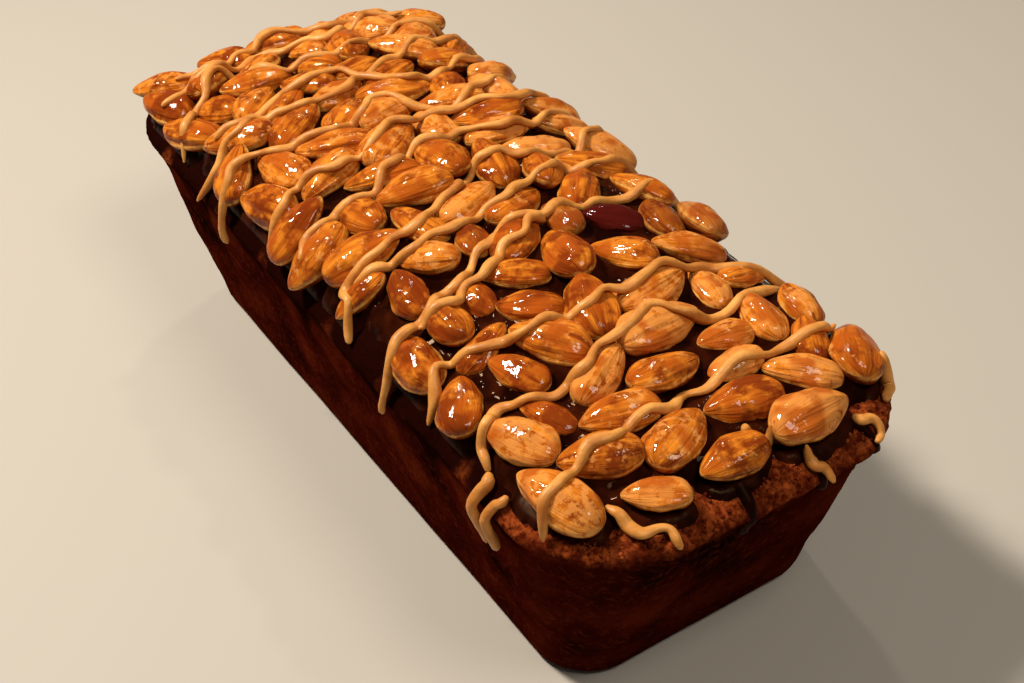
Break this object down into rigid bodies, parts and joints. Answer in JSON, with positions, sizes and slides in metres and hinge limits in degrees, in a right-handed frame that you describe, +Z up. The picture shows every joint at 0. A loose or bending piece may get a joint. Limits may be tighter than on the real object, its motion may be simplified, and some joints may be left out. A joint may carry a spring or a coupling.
{
  "type": "loaf cake",
  "caption": "Tin-baked loaf cake with flared ends and sides, a domed crust, a topping of whole glazed almonds and a thick drizzle across it that runs over the rim.",
  "frame": {"origin": "middle of the flat bottom, at the level that the cake rests on", "axes": "+X across the loaf, +Y along it away from the end whose crust shows in front of the almonds, +Z up"},
  "size_m": [0.1243, 0.3045, 0.1002],
  "materials": {
    "crust": "dark reddish-brown baked crust, porous and sticky, with a dull sheen",
    "glazed_almonds": "roasted almonds under a glossy dark syrup, with a tan peanut butter drizzle"
  },
  "bodies": {
    "root": {"loaf": "crust", "almond_topping": "glazed_almonds"}
  },
  "joints": []
}
